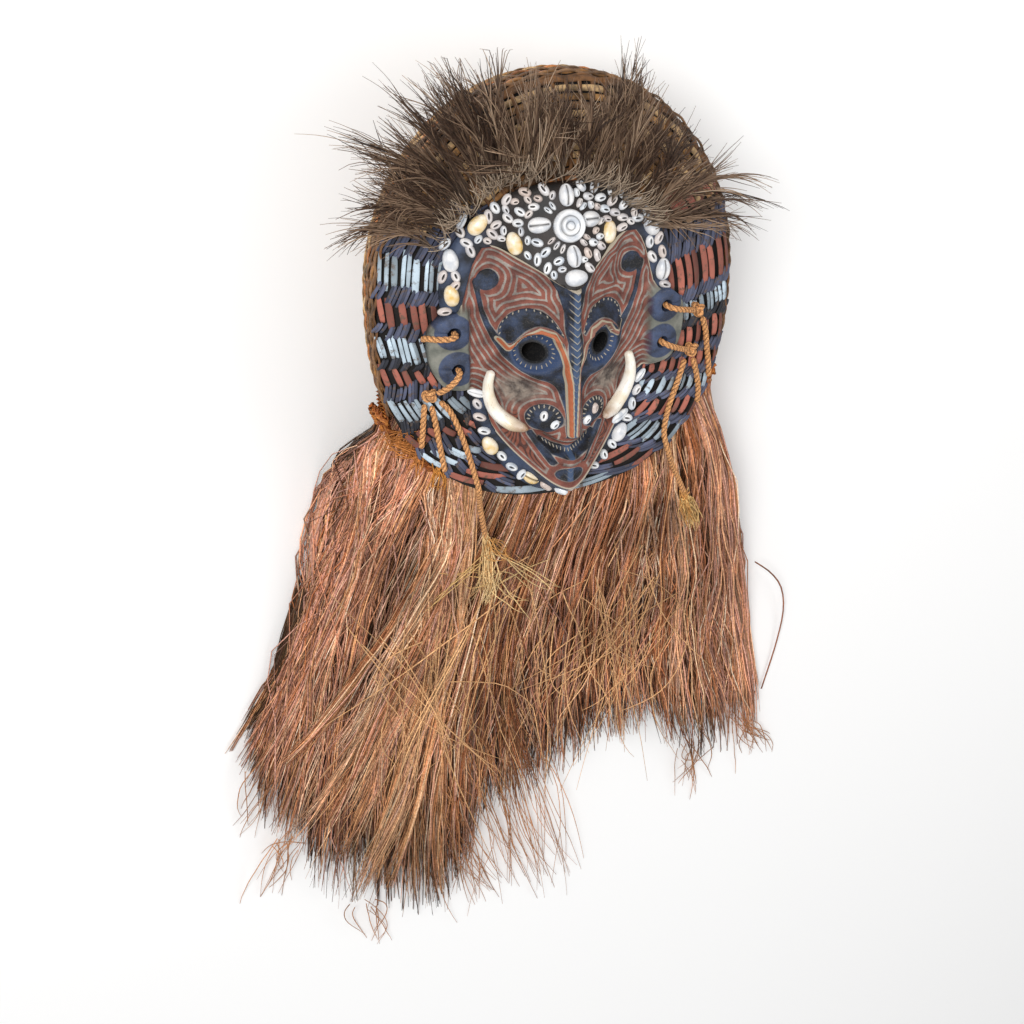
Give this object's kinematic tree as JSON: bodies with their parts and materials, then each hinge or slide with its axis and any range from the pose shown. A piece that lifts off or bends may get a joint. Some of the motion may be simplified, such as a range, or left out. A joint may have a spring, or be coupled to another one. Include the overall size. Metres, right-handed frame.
{
  "type": "basketry helmet mask with fibre skirt",
  "caption": "Woven cane helmet mask with a carved painted face, shell-set forehead, boar tusks, feather crest, corded ears and a long fibre skirt, lying on its back.",
  "frame": {"origin": "middle of the small flat spot on the back of the hood, on the surface that the mask lies on", "axes": "+Z out of the face, away from that surface; +Y to the crown of the head; -Y down the skirt; -X to the viewer's left"},
  "size_m": [0.6212, 1.0377, 0.2433],
  "materials": {
    "painted_cane": "matte",
    "painted_wood": "satin",
    "resin_paste": "matte",
    "white_shell": "gloss",
    "yellow_shell": "gloss",
    "tusk_ivory": "satin",
    "dark_feather": "matte",
    "dyed_fibre": "matte",
    "twisted_cord": "matte"
  },
  "bodies": {
    "root": {"helmet_basket": "painted_cane", "carved_face": "painted_wood", "shell_bed_forehead": "resin_paste", "shell_bed_chin": "resin_paste", "rosette_cowrie_top": "white_shell", "rosette_cowrie_left": "white_shell", "rosette_cowrie_right": "white_shell", "rosette_cowrie_bottom": "white_shell", "brow_cowrie_middle": "white_shell", "border_cowrie_left_1": "white_shell", "border_cowrie_right_1": "white_shell", "border_cowrie_right_2": "white_shell", "chin_cowrie_right": "white_shell", "ring_shell": "white_shell", "brow_cowrie_left": "yellow_shell", "brow_cowrie_right": "yellow_shell", "border_cowrie_left_2": "yellow_shell", "border_cowrie_left_3": "yellow_shell", "chin_cowrie_left": "yellow_shell", "chin_cowrie_middle": "yellow_shell", "tusk_left": "tusk_ivory", "tusk_right": "tusk_ivory", "feather_crest": "dark_feather", "fibre_skirt": "dyed_fibre", "ear_cord_left_upper": "twisted_cord", "ear_cord_left_lower": "twisted_cord", "ear_strand_left_1": "twisted_cord", "ear_strand_left_2": "twisted_cord", "ear_strand_left_3": "twisted_cord", "ear_cord_right_upper": "twisted_cord", "ear_cord_right_lower": "twisted_cord", "ear_strand_right_1": "twisted_cord", "ear_strand_right_2": "twisted_cord", "ear_strand_right_3": "twisted_cord", "ear_knot_left": "twisted_cord", "ear_knot_right_upper": "twisted_cord", "ear_knot_right_lower": "twisted_cord"}
  },
  "joints": []
}
